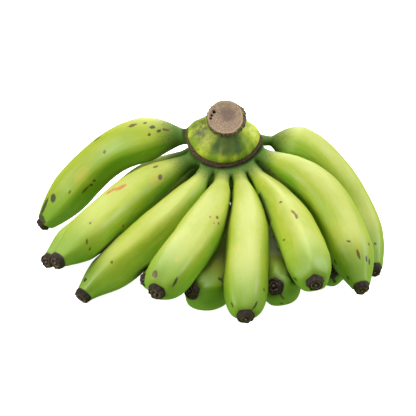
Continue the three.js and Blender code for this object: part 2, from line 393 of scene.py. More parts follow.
# %% [markdown]
# ## Fingers: pressed flanks
# Fingers of a hand grow against each other, and where they touch both go flat. Two round sections
# that overlap share a plane, and each finger stops short of it by half of a thin gap.


# %% Presses
press_blend = 1.2
crease_shade_depth = 3.0
least_facing = 0.05
no_press = 1e3


def pressed(finger, middle, radius, way, reach):
    """The reach of each point of the sections, held back by every neighbour's press, and how close
    each point is to a press, from 0 to 1. The plane lies (apart^2 + r^2 - s^2) / (2 apart) from the
    middle, for girths r and s that far apart."""
    painted_shade = np.zeros_like(reach)
    for other in fingers:
        if other is finger:
            continue
        offset = other["line"][None] - middle[:, None]
        apart = np.linalg.norm(offset, axis=-1)
        nearest = np.argmin(apart - other["radii"], axis=1)
        pick = np.arange(len(middle)), nearest
        apart, offset, girth_there = apart[pick], offset[pick], other["radii"][nearest]
        plane = (apart**2 + radius**2 - girth_there**2) / (2 * apart) - press_gap / 2
        close = apart - girth_there < radius + ridge_depth * (radius + girth_there) + press_gap
        towards = unit(offset)
        facing = np.einsum("ijk,ik->ij", way, towards)
        presses = (facing > least_facing) & close[:, None]
        limit = np.where(presses, plane[:, None] / np.maximum(facing, least_facing), no_press)
        # Painted shade: close to a press the rind is darkened, as the shade in the crease between two
        # fingers.
        painted_shade = np.maximum(painted_shade, smooth(1 - (limit - reach) / crease_shade_depth))
        reach = soft_least(reach, limit, press_blend)
    return reach, painted_shade


def ring_directions(side, over, columns):
    """The directions round each section, and their turns in radians."""
    turn = np.arange(columns) / columns * 2 * np.pi
    way = side[:, None] * np.cos(turn)[:, None] + over[:, None] * np.sin(turn)[:, None]
    return turn, way


# %% [markdown]
# ## Fingers: ridges
# A plantain is a rounded pentagon across, because its flower had five parts. The outline of a
# pentagon is cos(36 degrees) / cos(angle from the flat's middle). Mixed with a plain cosine it keeps
# soft flats and blunt corners. The corners sharpen towards the blossom end.


# %% Ridges
def corners_at(turn, sharpness=0.35):
    """From -1 in the middle of a flat to 1 on a ridge: a pentagon's outline mixed with a cosine."""
    across = (turn * ridge_count / (2 * np.pi) + 0.5) % 1 - 0.5
    pentagon = np.cos(np.pi / ridge_count) / np.cos((0.5 - np.abs(across)) * 2 * np.pi / ridge_count)
    return sharpness * (pentagon - 0.9) / 0.1 + (1 - sharpness) * np.cos(ridge_count * turn)


def uneven_ridges(finger, turn):
    """The same with each ridge a little stronger or weaker than the next."""
    shift = finger["seed"]
    return corners_at(turn) * (1 + 0.35 * np.sin(turn + shift) + 0.2 * np.sin(2 * turn + 1.7 * shift))


# %% [markdown]
# ## Fingers: marks on the rind
# A hand is knocked about in the field and the box. It carries black scabs, brown scratches and specks,
# rust-coloured rubs and yellow bruises. Each mark is an oval laid on the skin of one finger: its kind,
# its two half lengths in millimetres and how many degrees it slants. A mark that the camera sees is
# placed by where it shows in the frame, across and down from the upper left corner. The script then
# finds the spot of skin that shows there. A mark on a hidden side is placed on the finger itself: how
# far it is from the root in millimetres, and how many degrees round.


# %% Marks
frame_pixels = 416


def seen(kind, across, down, size, slant=0):
    """A mark placed in the camera's frame."""
    return kind, (across, down), size, slant


def unseen(kind, run, degrees, size, slant=0):
    """A mark placed on the finger itself."""
    return kind, (run, degrees), size, slant


seen_marks = {
    "upper_1": [
        seen("black", across=53, down=198, size=(5.6, 4.4), slant=20),
        seen("black", across=44, down=207, size=(13, 2.6), slant=2),
        seen("black", across=42, down=219, size=(4.5, 7)),
        seen("black", across=91, down=185, size=(2.6, 1.9)),
        seen("black", across=94, down=181, size=(1.8, 1.7)),
        seen("brown", across=85, down=190, size=(8, 1.5)),
        seen("brown", across=70, down=192, size=(3, 1.1), slant=10),
        seen("brown", across=104, down=152, size=(2.0, 1.9)),
        seen("brown", across=97, down=139, size=(5, 1.6)),
        seen("brown", across=132, down=125, size=(5, 1.6)),
        seen("brown", across=145, down=123, size=(2, 1.4)),
        seen("black", across=152, down=127, size=(3.0, 2.0)),
        seen("black", across=159, down=131, size=(2.6, 1.9), slant=40),
        seen("black", across=149, down=135, size=(1.8, 1.7)),
        seen("brown", across=166, down=130, size=(4, 1.6)),
        seen("yellow", across=81, down=175, size=(14, 8))],
    "upper_2": [
        seen("rust", across=121, down=187, size=(9, 2.8), slant=-10),
        seen("rust", across=111, down=191, size=(9, 1.7), slant=-10),
        seen("brown", across=160, down=177, size=(4, 2.4), slant=30),
        seen("yellow", across=157, down=179, size=(12, 8)),
        seen("brown", across=155, down=167, size=(3.5, 1.6)),
        seen("brown", across=123, down=226, size=(1.8, 1.6)),
        seen("brown", across=90, down=223, size=(1.5, 1.3)),
        seen("brown", across=87, down=241, size=(3, 1.2), slant=60),
        seen("brown", across=90, down=249, size=(2.2, 1.2), slant=60)],
    "upper_3": [
        seen("black", across=85, down=280, size=(2.2, 2.6)),
        seen("brown", across=111, down=262, size=(1.5, 1.4))],
    "upper_4": [
        seen("brown", across=218, down=218, size=(2.4, 1.5)),
        seen("brown", across=218, down=223, size=(1.7, 1.4)),
        seen("rust", across=210, down=217, size=(1.8, 1.5)),
        seen("rust", across=214, down=223, size=(1.8, 1.4)),
        seen("yellow", across=216, down=207, size=(5, 1.6)),
        seen("yellow", across=177, down=259, size=(4.5, 2.4)),
        seen("brown", across=155, down=274, size=(3, 3)),
        seen("black", across=175, down=282, size=(4.4, 1.6), slant=30)],
    "upper_5": [
        seen("yellow", across=236, down=246, size=(5, 2.6)),
        seen("black", across=264, down=290, size=(2.0, 1.5)),
        seen("black", across=256, down=305, size=(4.4, 1.4), slant=-15),
        seen("black", across=232, down=305, size=(2.4, 1.4))],
    "upper_6": [
        seen("brown", across=281, down=202, size=(1.6, 1.5)),
        seen("brown", across=295, down=213, size=(8, 1.3), slant=14),
        seen("yellow", across=295, down=213, size=(11, 4), slant=14),
        seen("brown", across=296, down=217, size=(4, 1.1), slant=-10),
        seen("brown", across=284, down=240, size=(1.7, 1.6)),
        seen("black", across=294, down=280, size=(3, 1.5)),
        seen("yellow", across=323, down=252, size=(3, 1.6))],
    "upper_7": [
        seen("yellow", across=357, down=244, size=(14, 2.4), slant=5),
        seen("brown", across=358, down=254, size=(5.5, 1.4), slant=5),
        seen("brown", across=349, down=241, size=(2.4, 1.1), slant=60),
        seen("black", across=335, down=262, size=(3.2, 2.2)),
        seen("black", across=369, down=262, size=(3.2, 1.6)),
        seen("black", across=366, down=259, size=(3.2, 1.4)),
        seen("brown", across=369, down=244, size=(2, 1.6)),
        seen("black", across=348, down=278, size=(2.8, 2.2))],
    "upper_8": [seen("brown", across=375, down=244, size=(1.8, 1.5))],
    "lower_4": [seen("brown", across=220, down=279, size=(2.8, 2.6))],
    "lower_5": [
        seen("brown", across=281, down=304, size=(2.4, 2.0)),
        seen("brown", across=289, down=303, size=(2.2, 1.8)),
        seen("brown", across=282, down=297, size=(2, 1.5))],
    "lower_6": [seen("black", across=334, down=281, size=(2.6, 1.4), slant=50)],
}
unseen_marks = {
    "upper_8": [unseen("brown", 60, 100, (2, 1.6)), unseen("black", 120, 60, (3, 1.8))],
    "lower_1": [unseen("brown", 120, -60, (3, 1.5)), unseen("black", 150, 30, (2.4, 1.8))],
    "lower_2": [unseen("brown", 90, 120, (5, 1.4), 20), unseen("black", 140, 60, (2.2, 2))],
    "lower_4": [unseen("black", 150, -90, (2.2, 1.6))],
    "lower_6": [unseen("yellow", 120, 40, (6, 3))],
    "lower_7": [unseen("brown", 110, -150, (6, 1.3), 10), unseen("black", 150, 20, (2.2, 1.8)),
                unseen("yellow", 80, 160, (8, 5))],
}


def shown_at(points):
    """Where points show in the camera's frame, in pixels across and down: the frame's middle plus the
    focal length times how far a point is to the side of the line of sight, over its depth."""
    focal = camera_data.lens / camera_data.sensor_width * frame_pixels
    sight = points * MM - camera_place
    frame_down = np.array([0, -np.sin(camera_pitch), -np.cos(camera_pitch)])
    reach = focal / (sight @ -back_off)
    return frame_pixels / 2 + reach * sight[..., 0], frame_pixels / 2 + reach * (sight @ frame_down)


def laid_marks(finger, points, way, distance, turn):
    """Every mark of a finger as its kind, its run and turn on the skin, its size and its slant. Of the
    skin that faces the camera, the point that shows nearest to the mark's place is its middle."""
    across, down = shown_at(points)
    turned_away = np.where(way @ back_off > least_facing, 0, frame_pixels)
    laid = [(kind, (run, np.radians(degrees)), size, slant)
            for kind, (run, degrees), size, slant in unseen_marks.get(finger["name"], ())]
    for kind, (x, y), size, slant in seen_marks.get(finger["name"], ()):
        nearest = np.argmin(np.hypot(across - x, down - y) + turned_away)
        row, column = np.unravel_index(nearest, across.shape)
        laid.append((kind, (distance[row], turn[column]), size, slant))
    return laid


def mark_strength(laid, distance, turn, radius, kind):
    """How deep inside a mark each point is, from 0 at its edge to 1 in its middle."""
    strength = np.zeros((len(distance), len(turn)))
    for this_kind, (run, round_at), (half_length, half_width), slant in laid:
        if this_kind != kind:
            continue
        onward = (distance - run)[:, None] + 0 * turn
        turned = (turn - round_at + np.pi) % (2 * np.pi) - np.pi
        across = turned * radius[:, None]
        lean = np.radians(slant)
        u = (onward * np.cos(lean) + across * np.sin(lean)) / half_length
        v = (across * np.cos(lean) - onward * np.sin(lean)) / half_width
        strength = np.maximum(strength, 1 - np.sqrt(u**2 + v**2))
    return strength


# %% Skins
finger_rows, finger_columns = 200, 110
overlap = 2.4
# A little more flesh on the shoulders: how much, how far along and over what length.
flesh, flesh_at, flesh_spread = 1.0, 60, 18
# The lower row's middle fingers root in the dark under the upper necks, and their rind there is darkened
# as painted shade: how deep, down to where, and over what length it fades.
shaded_fingers = ("lower_3", "lower_4", "lower_5", "lower_6")
shade_depth, shade_end, shade_fade = 0.9, 50, 75
# How much pale colour each finger carries, as a share: partly the wax bloom, partly a painted highlight.
bloom_and_highlight_share = {"upper_1": 0.2, "upper_2": 0.35, "upper_3": 0.8, "upper_4": 0.9, "upper_5": 1.0, "upper_6": 0.9,
          "upper_7": 0.8, "upper_8": 0.8}
least_bloom_and_highlight = 0.3


def finger_skin(finger, paints):
    """The skin from just inside the neck to the blossom end: a radius for each section, ridges round
    it, flats where neighbours press, and nothing under the table."""
    first = neck_length - overlap
    even = np.linspace(0, 1, finger_rows)
    bunched = 0.5 - 0.5 * np.cos(even * np.pi)
    distance = first + (finger["length"] - first) * (0.6 * even + 0.4 * bunched)
    from_tip = finger["length"] - distance
    middle, _, side, over = section_frames(finger, distance)
    turn, way = ring_directions(side, over, finger_columns)
    radius = radius_at(finger, distance)
    crest = uneven_ridges(finger, turn)
    straight = np.stack([radius[:, None] * np.cos(turn), radius[:, None] * np.sin(turn),
                         distance[:, None] + 0 * turn], -1)
    past_neck = smooth((distance - neck_length) / 26)[:, None]
    sharper = (1 + 0.8 * smooth(1 - from_tip / 20))[:, None]
    dents = 0.4 * ripple(straight, finger["seed"], 42) + 0.12 * ripple(straight, finger["seed"] + 50, 15)
    swell = flesh * np.exp(-((distance - flesh_at) / flesh_spread) ** 2)[:, None]
    reach = radius[:, None] * (1 + ridge_depth * crest * sharper * past_neck) + (dents + swell) * past_neck
    tucked = 0.8 * (1 - smooth((distance - first) / overlap))
    lip = 0.8 * (1 - smooth(from_tip / 1.3))
    reach, painted_shade = pressed(finger, middle, radius, way, reach - (tucked + lip)[:, None])
    points = middle[:, None] + way * reach[..., None]
    points[..., 2] = np.maximum(points[..., 2], 0)
    from_plug = np.hypot(from_tip, radius - radius[-1])
    # Painted shade: the roots of the lower row's middle fingers are darkened where the upper necks cover
    # them.
    rooted = 1 - smooth((distance - shade_end) / shade_fade)
    hidden = shade_depth * rooted * (finger["name"] in shaded_fingers)
    bloom_and_highlight = bloom_and_highlight_share.get(finger["name"], least_bloom_and_highlight) + 0 * distance[:, None]
    attributes = {"straight": straight * MM, "from_plug": from_plug[:, None] * MM, "crest": crest[None],
                  "painted_shade": np.maximum(painted_shade, hidden[:, None]), "sun_and_painted_light": 0.5 + 0.5 * way[..., 2],
                  "bloom_and_highlight": bloom_and_highlight}
    laid = laid_marks(finger, points, way, distance, turn)
    for kind in ("black", "brown", "rust", "yellow"):
        attributes[kind] = mark_strength(laid, distance, turn, radius, kind)
    return skin_mesh(f"skin_{finger['name']}", points, paints, attributes)


# %% [markdown]
# ## Rind
# Green plantain rind is smooth, thick and faintly waxy, so it gives broad soft highlights. Its green
# isn't even: it is yellower along the ridges and deeper at the neck, clouded in patches a few
# centimetres wide and drawn out in fine streaks. The upper side is painted yellower and the underside deeper
# green, partly the sun side's own colour and partly painted light, and painted shade darkens it where two
# fingers press.
# Small brown specks lie all over it.

# %% Rind material
rind, tree = material("waxy green plantain rind")
straight = node(tree, "ShaderNodeAttribute", attribute_name="straight").outputs["Vector"]
run = node(tree, "ShaderNodeSeparateXYZ", {0: straight}).outputs["Z"]


def strength(tree, label):
    """A number stored on the skin's points."""
    return node(tree, "ShaderNodeAttribute", attribute_name=label).outputs["Fac"]


def noise(tree, place, length, detail=2.0, rough=0.5, stretch=1.0):
    """Noise from 0 to 1 whose waves are about a length in metres, and longer down the finger."""
    scaled = node(tree, "ShaderNodeMapping", {"Vector": place, "Scale": (1 / length, 1 / length,
                                                                        1 / (length * stretch))})
    return node(tree, "ShaderNodeTexNoise", {"Vector": scaled.outputs[0], "Scale": 1.0,
                                             "Detail": detail, "Roughness": rough}).outputs["Fac"]


def between(tree, value, low, high, to_low=0.0, to_high=1.0):
    """A number mapped smoothly from one range to another and held within it."""
    return node(tree, "ShaderNodeMapRange", {"Value": value, "From Min": low, "From Max": high,
                                             "To Min": to_low, "To Max": to_high},
                interpolation_type="SMOOTHSTEP").outputs["Result"]


def reckon(tree, operation, a, b=0.0, c=0.0):
    """One step of arithmetic on numbers."""
    return node(tree, "ShaderNodeMath", {0: a, 1: b, 2: c}, operation=operation).outputs[0]


def blend(tree, share, a, b):
    """A share of the way from one colour to another."""
    return node(tree, "ShaderNodeMix", {MIX: share, FIRST: a, SECOND: b}, data_type="RGBA").outputs[MIXED]


mark_fade = 0.12


def mark(tree, label, place, edge):
    """Where a mark shows: its strength, broken up by fine noise so that its edge is ragged."""
    broken = reckon(tree, "MULTIPLY_ADD", noise(tree, place, 0.0022, 3.0, 0.6), 0.7, -0.35)
    near = between(tree, strength(tree, label), 0.0, 0.06)
    worn = reckon(tree, "MULTIPLY_ADD", broken, near, strength(tree, label))
    return between(tree, worn, edge - mark_fade, edge + mark_fade)


cloud = reckon(tree, "MULTIPLY_ADD", noise(tree, straight, 0.022, 3.0, 0.6, 2.2), 0.9, -0.45)
# The upper side is painted yellower and the underside deeper green: partly the sun side's own colour, partly
# painted light.
sun_and_painted_light = between(tree, reckon(tree, "ADD", strength(tree, "sun_and_painted_light"), cloud), 0.3, 1.0)
paint = blend(tree, sun_and_painted_light, colour("#6aa314"), colour("#a3af1e"))
streak = between(tree, noise(tree, straight, 0.004, 3.0, 0.6, 9.0), 0.35, 0.7, 0.0, 0.32)
paint = blend(tree, streak, paint, colour("#b4bd48"))
creamy = between(tree, noise(tree, straight, 0.0022, 4.0, 0.7, 2.5), 0.5, 0.72, 0.0, 0.3)
creamy = reckon(tree, "MULTIPLY", creamy, strength(tree, "bloom_and_highlight"))
paint = blend(tree, creamy, paint, colour("#bcc562"))
# The tops are painted pale cream: partly the wax bloom, partly a painted highlight.
up_top = reckon(tree, "MULTIPLY_ADD", cloud, 0.35, strength(tree, "sun_and_painted_light"))
bloom_and_highlight = reckon(tree, "MULTIPLY", between(tree, up_top, 0.8, 1.05, 0.0, 0.6), strength(tree, "bloom_and_highlight"))
paint = blend(tree, bloom_and_highlight, paint, colour("#c8cf84"))
on_ridge = between(tree, strength(tree, "crest"), 0.0, 1.2, 0.0, 0.2)
paint = blend(tree, on_ridge, paint, colour("#b9c24c"))
neck = between(tree, run, 0.022, 0.046, 0.95, 0.0)
paint = blend(tree, neck, paint, colour("#4f7320"))
from_plug = strength(tree, "from_plug")
near_tip = between(tree, from_plug, 0.003, 0.055, 0.7, 0.0)
paint = blend(tree, near_tip, paint, colour("#6b9a26"))

# Specks: brown dots well under a millimetre wide, one or two to a square centimetre.
dots = node(tree, "ShaderNodeTexVoronoi", {"Vector": straight, "Scale": 130.0}, feature="F1")
dot = between(tree, dots.outputs["Distance"], 0.03, 0.075, 1.0, 0.0)
some = between(tree, noise(tree, straight, 0.012, 2.0), 0.52, 0.62)
speck = reckon(tree, "MULTIPLY", reckon(tree, "MULTIPLY", dot, some), 0.6)
paint = blend(tree, speck, paint, colour("#4f4a20"))

# A brown-green speckled band where the neck opens into the fruit.
band_in = between(tree, run, 0.020, 0.030)
band_out = between(tree, run, 0.032, 0.044, 1.0, 0.0)
freckle = between(tree, noise(tree, straight, 0.0016, 3.0, 0.7), 0.52, 0.64, 0.0, 0.6)
band = reckon(tree, "MULTIPLY", reckon(tree, "MULTIPLY", band_in, band_out), freckle)
paint = blend(tree, band, paint, colour("#47421f"))

# The marks, the faintest first: kind, how deep inside it its edge lies, cover and colour.
for kind, edge, cover, tone in [("yellow", 0.25, 0.4, "#bfae32"), ("brown", 0.18, 0.95, "#5c4a14"),
                                ("rust", 0.25, 0.85, "#b8610c"), ("black", 0.18, 0.9, "#2c281e")]:
    covered = reckon(tree, "MULTIPLY", mark(tree, kind, straight, edge), cover)
    paint = blend(tree, covered, paint, colour(tone))
scar = strength(tree, "scar")
scar_grain = noise(tree, node(tree, "ShaderNodeTexCoord").outputs["Object"], 0.0015, 4.0, 0.65)
paint = blend(tree, scar, paint, blend(tree, scar_grain, colour("#453c2c"), colour("#7c6f58")))
# Painted shade: the rind goes near black-green in the creases between pressed fingers, at the lower row's
# roots and under the scar ring.
paint = blend(tree, reckon(tree, "MULTIPLY", strength(tree, "painted_shade"), 0.7), paint, colour("#20300c"))
at_plug = between(tree, from_plug, 0.0003, 0.0013, 0.9, 0.0)
paint = blend(tree, at_plug, paint, colour("#4a3b2a"))

pores = noise(tree, straight, 0.0006, 3.0, 0.6)
waves = noise(tree, straight, 0.004, 2.0, 0.5, 5.0)
height = reckon(tree, "ADD", reckon(tree, "MULTIPLY", pores, 0.35), waves)
bump = node(tree, "ShaderNodeBump", {"Height": height, "Strength": 0.2, "Distance": 0.0006})
waxy = between(tree, noise(tree, straight, 0.02, 2.0), 0.3, 0.7, 0.40, 0.54)
rough = reckon(tree, "ADD", waxy, between(tree, run, 0.026, 0.044, 0.3, 0.0))
rough = reckon(tree, "MULTIPLY_ADD", strength(tree, "painted_shade"), 0.4, rough)
shader = node(tree, "ShaderNodeBsdfPrincipled",
              {"Base Color": paint, "Roughness": rough, "IOR": 1.5, "Specular IOR Level": 0.55,
               "Normal": bump.outputs[0]})
node(tree, "ShaderNodeOutputMaterial", {"Surface": shader.outputs[0]})

# %% Dress the fingers
for finger in fingers:
    piece = finger_skin(finger, [rind])
    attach(piece, "root")
    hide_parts(f"finger_{finger['name']}")
print("fingers:", len(fingers), "with", finger_rows * finger_columns, "points each")

# %% [markdown]
# ## Crown: collar and necks
# Under the scar ring the necks of all the fruit run together in a collar. Rounded joints between so
# many branches are hard to draw as a grid, so this piece is a field of distances instead: for every
# point of a block of space, how far it is outside the nearest neck or the collar. Soft minimums round
# the joints, and OpenVDB draws the surface where the distance is nought. A last soft maximum keeps
# the necks clear of the scar ring.

# %% Collar
neck_end = neck_length + 4
neck_steps = 28
neck_flare = 1.8
web_round, root_round = 5.0, 8.0
block_half = np.array([60, 60, 62])
voxel = 0.8
far_off = 40.0
# Down the crown's axis: height along it, radius in front, radius behind.
collar_sections = np.array([
    (-3.4, 36.2, 23.0), (-5, 35.5, 23.0), (-10, 33, 23.0), (-22, 29, 21.5), (-32, 24, 20.0),
    (-39, 20, 18.5), (-41, 18.8, 17.5)])
fan_turn = 6


def crown_place(points):
    """Height along the crown's axis, distance from it, and degrees round it."""
    offset = points - crown_centre
    along = offset @ crown_axis
    right, front = offset @ rightward, offset @ frontward
    return along, np.hypot(right, front), np.degrees(np.arctan2(front, right))


def front_share(degrees):
    """1 in front, where the fingers grow, and 0 behind, where the stalk is plain."""
    return 1 - smooth((0.1 - np.sin(np.radians(degrees - fan_turn))) / 0.6)


def to_collar(points):
    """How far points are outside the collar: past its reach, over its top or under its cut foot."""
    along, apart, degrees = crown_place(points)
    heights = -collar_sections[:, 0]
    front = np.interp(-along, heights, collar_sections[:, 1])
    back = np.interp(-along, heights, collar_sections[:, 2])
    side = 0.93 * (apart - back - (front - back) * front_share(degrees))
    foot = -soft_least(-side, along - collar_sections[-1, 0], 2.5)
    return np.maximum(foot, along - collar_sections[0, 0])


def to_neck(finger, points):
    """How far points are outside a neck, how far along it they are, and their turn round it."""
    distance = np.linspace(0, neck_end, neck_steps)
    middle, way, side, over = section_frames(finger, distance)
    offset = points[:, None] - middle
    nearest = np.argmin(np.einsum("ijk,ijk->ij", offset, offset), axis=1)
    offset = offset[np.arange(len(points)), nearest]
    step = neck_end / (neck_steps - 1)
    onward = np.clip(np.einsum("ij,ij->i", offset, way[nearest]), -step / 2, step / 2)
    offset = offset - way[nearest] * onward[:, None]
    run = distance[nearest] + onward
    sunk = 0.9 * smooth((run - neck_length + 0.8) / 3) - neck_flare * (1 - smooth((run - 8) / 15))
    turn = np.arctan2(np.einsum("ij,ij->i", offset, over[nearest]),
                      np.einsum("ij,ij->i", offset, side[nearest]))
    return np.linalg.norm(offset, axis=-1) - radius_at(finger, run) + sunk, run, turn


def collar_field(axes):
    """The whole field: necks joined softly to each other, and the collar softly to them."""
    necks = np.full([len(axis) for axis in axes], far_off)
    for finger in fingers:
        line = finger["line"][finger["run"] < neck_end]
        window = [slice(*np.searchsorted(axis, (line[:, i].min() - 13, line[:, i].max() + 13)))
                  for i, axis in enumerate(axes)]
        grid = np.meshgrid(*(axis[cut] for axis, cut in zip(axes, window)), indexing="ij")
        points = np.stack(grid, -1)
        away = to_neck(finger, points.reshape(-1, 3))[0].reshape(points.shape[:3])
        here = tuple(window)
        necks[here] = soft_least(necks[here], np.minimum(away, far_off), web_round)
    points = np.stack(np.meshgrid(*axes, indexing="ij"), -1)
    whole = soft_least(to_collar(points), necks, root_round)
    along, apart, _ = crown_place(points)
    over_ring = along + 3.0 - np.maximum(apart - 37.6, 0)
    return -soft_least(-whole, -over_ring, 1.5)


collar_middle = crown_centre - crown_axis * 24
axes = [np.arange(c - h, c + h, voxel) for c, h in zip(collar_middle, block_half)]
field = collar_field(axes)
grid = openvdb.FloatGrid(far_off)
grid.copyFromArray(field.astype(np.float32))
points, triangles, quads = grid.convertToPolygons(isovalue=0.0, adaptivity=0.0)
points = points * voxel + np.array([axis[0] for axis in axes])
print("collar:", len(points), "points", len(quads), "quads", len(triangles), "triangles")

# %% Collar attributes
nearest = np.full(len(points), np.inf)
straight = np.zeros((len(points), 3))
for finger in fingers:
    away, run, turn = to_neck(finger, points)
    closer = away < nearest
    nearest = np.where(closer, away, nearest)
    radius = radius_at(finger, run)
    laid = np.stack([radius * np.cos(turn), radius * np.sin(turn), run], -1)
    straight = np.where(closer[:, None], laid, straight)
along, apart, degrees = crown_place(points)
# Painted shade: the collar is darkened just under the scar ring, where the ring overhangs it.
shade_under_ring = smooth((along + 9) / 6) * smooth((42 - apart) / 4)
cut_foot = smooth((-38.5 - along) / 1.5) * smooth((22 - apart) / 2)
collar_attributes = {
    "straight": straight * MM,
    "from_plug": np.full((len(points), 1), 0.1),
    "crest": np.zeros((len(points), 1)),
    "sun_and_painted_light": np.full((len(points), 1), 0.5),
    "painted_shade": shade_under_ring[:, None],
    "scar": cut_foot[:, None],
}
piece = build_mesh("collar_and_necks", points, [quads, triangles] if len(triangles) else [quads],
                   [rind], collar_attributes)
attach(piece, "root")
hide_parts("crown")

# %% [markdown]
# ## Crown: cushion, scar ring and stump
# The stalk was sawn across, so its face is a shallow dish of pale fibres with a firm rim, browned by
# the air, and with a few dark holes. Below it the cushion swells forward in soft lobes to the ring of
# scar where the bract sat. All of it is one grid round the crown's axis.

# %% Cushion
cushion_columns = 240
stump_drift = 1.9
face_height = 29.0
# Down from the rim of the cut: height along the axis, radius in front, radius behind.
side_sections = [
    (29.0, 17.0, 17.0), (28.3, 17.8, 17.8), (27.0, 18.1, 18.1), (24.5, 17.6, 17.6), (21.0, 18.6, 18.0),
    (18.0, 22.2, 18.2), (14.0, 28.0, 18.8), (9.8, 32.3, 19.9), (6.0, 34.3, 21.0), (3.0, 34.8, 21.6),
    (1.2, 34.3, 21.8), (0.6, 34.2, 22.0), (0.0, 35.2, 22.6), (-0.9, 36.6, 23.0), (-2.2, 37.3, 23.3),
    (-3.8, 37.1, 23.2), (-4.9, 35.3, 22.0), (-5.2, 30.0, 19.0)]
# Holes in the cut face: right, back and radius.
face_holes = [(-11.2, 5.6, 1.7), (-13.2, 1.9, 1.1), (-13.9, -1.2, 1.1)]

# Degrees round the axis: the side painted paler, the side that dried, and the stain in front.
pale_turn, dry_turn, stain_turn, stain_spread = -12, 165, 82, 42


def turned_from(degrees, middle):
    """How many degrees round the axis from the middle, from -180 to 180."""
    return (degrees - middle + 180) % 360 - 180


turn = np.arange(cushion_columns) / cushion_columns * 2 * np.pi
degrees = np.degrees(turn)
share = front_share(degrees)
side = through(side_sections, 7)
side_along = side[:, :1] + 0 * turn
side_reach = side[:, 2:] + (side[:, 1:2] - side[:, 2:]) * share
face_rows = 46
face_reach = np.linspace(0.015, 0.985, face_rows)[:, None] * side_reach[:1]
face_share = face_reach / side_reach[:1]
face_along = face_height - 1.3 * (1 - face_share**3)
along = np.concatenate([face_along, side_along])
reach = np.concatenate([face_reach, side_reach])
on_face = np.concatenate([np.ones_like(face_reach), np.zeros_like(side_reach)])
flat = np.stack([reach * np.cos(turn), reach * np.sin(turn), along], -1)

# Relief: fibre ends on the cut, long fibres down the stump, lobes on the cushion, a ragged ring.
fibre_ends = 0.16 * ripple(flat, 3, 2.2) + 0.22 * ripple(flat, 4, 7)
hollow = np.zeros_like(along)
for right, back, size in face_holes:
    apart = np.hypot(flat[..., 0] - right, -flat[..., 1] - back)
    hollow = np.maximum(hollow, smooth((size + 0.5 - apart) / 1.0))
along = along + on_face * (fibre_ends - 2.4 * hollow)
around = np.stack([40 * np.cos(turn), 40 * np.sin(turn), 0 * turn], -1)[None] + flat * (0, 0, 0.12)
on_stump = smooth((along - 20) / 4) * (1 - on_face)
from_right = turned_from(degrees, pale_turn)
from_left = turned_from(degrees, dry_turn)
fray = np.maximum(ripple(around, 8, 2) * np.exp(-(from_right / 35) ** 2), 0)
by_rim = smooth((along - 26.5) / 2)
reach = reach - by_rim * (1.8 * np.exp(-(from_right / 55) ** 2) - 0.9 * np.exp(-(from_left / 55) ** 2))
reach = reach + on_stump * (0.5 * ripple(around, 5, 3.2) + 0.5 * ripple(flat, 6, 9) + 3.0 * fray)
lobed = np.stack([34 * np.cos(turn), 34 * np.sin(turn), 0 * turn], -1)[None] + flat * (0, 0, 0.3)
lobe = ripple(lobed, 11, 12)
pale_side = np.exp(-(from_right / 45) ** 2)
sear = np.exp(-(from_left / 40) ** 2) * smooth((along - 7) / 8) * (1 - on_face)
on_cushion = smooth(along / 5) * smooth((22 - along) / 8) * (1 - on_face)
reach = reach + on_cushion * (0.9 * lobe + 0.3 * ripple(flat, 12, 6))
on_ring = smooth((1.7 - along) / 0.9) * (1 - on_face)
reach = reach + on_ring * (0.7 * ripple(flat, 13, 9) + 0.3 * ripple(flat, 14, 2.5))
drift = stump_drift * smooth(along / face_height)
points = (crown_centre + along[..., None] * crown_axis + drift[..., None] * rightward
          + reach[..., None] * outward(degrees))

stain_across = np.exp(-(turned_from(degrees, stain_turn) / stain_spread) ** 2)
stain = smooth((30 - along) / 4) * smooth((along - 5) / 11) * (1 - on_face) * stain_across
cushion_attributes = {
    "face": on_face, "rim": on_face * np.concatenate([face_share, np.ones_like(side_reach)]),
    "hole": hollow * on_face, "stump": on_stump, "scar": on_ring,
    "lobe": lobe * (0.35 + 0.65 * share) + 1.1 * pale_side,
    "stain": stain, "sear": sear,
    "flat": flat * MM,
}

# %% [markdown]
# ## Crown: its look
# One material covers the green cushion and the cut wood, because they are one growth. The cut is pale
# beige with a grey-brown middle and fine speckles, where bundles of fibre were sawn through. The
# cushion is green, dark blue-green under the stump and yellow-green in its lobes. The ring and the
# stump's side are dry brown bark.

# %% Crown material
bark, tree = material("cut plantain stalk, fibrous and drying")
flat_place = node(tree, "ShaderNodeAttribute", attribute_name="flat").outputs["Vector"]
squashed = node(tree, "ShaderNodeMapping", {"Vector": flat_place, "Scale": (1, 1, 0.25)}).outputs[0]

lobes = between(tree, strength(tree, "lobe"), -0.5, 0.7)
green = blend(tree, lobes, colour("#8aa62e"), colour("#ccd848"))
mottle = between(tree, noise(tree, squashed, 0.006, 3.0, 0.6), 0.35, 0.7, 0.0, 0.55)
green = blend(tree, mottle, green, colour("#7f9a30"))
damp = reckon(tree, "ADD", strength(tree, "stain"),
              reckon(tree, "MULTIPLY_ADD", noise(tree, squashed, 0.009, 3.0, 0.55), 0.9, -0.45))
green = blend(tree, between(tree, damp, 0.15, 0.9, 0.0, 0.85), green, colour("#35502f"))
blue = between(tree, noise(tree, squashed, 0.012, 1.0), 0.5, 0.7, 0.0, 0.7)
green = blend(tree, reckon(tree, "MULTIPLY", blue, between(tree, damp, 0.1, 0.8)), green,
              colour("#3f5a54"))
seared = reckon(tree, "MULTIPLY", strength(tree, "sear"),
                between(tree, noise(tree, squashed, 0.004, 4.0, 0.65), 0.35, 0.65, 0.2, 0.95))
green = blend(tree, seared, green, colour("#574a22"))
fleck = between(tree, noise(tree, flat_place, 0.0022, 2.0, 0.7), 0.62, 0.7, 0.0, 0.8)
green = blend(tree, fleck, green, colour("#4a3f22"))

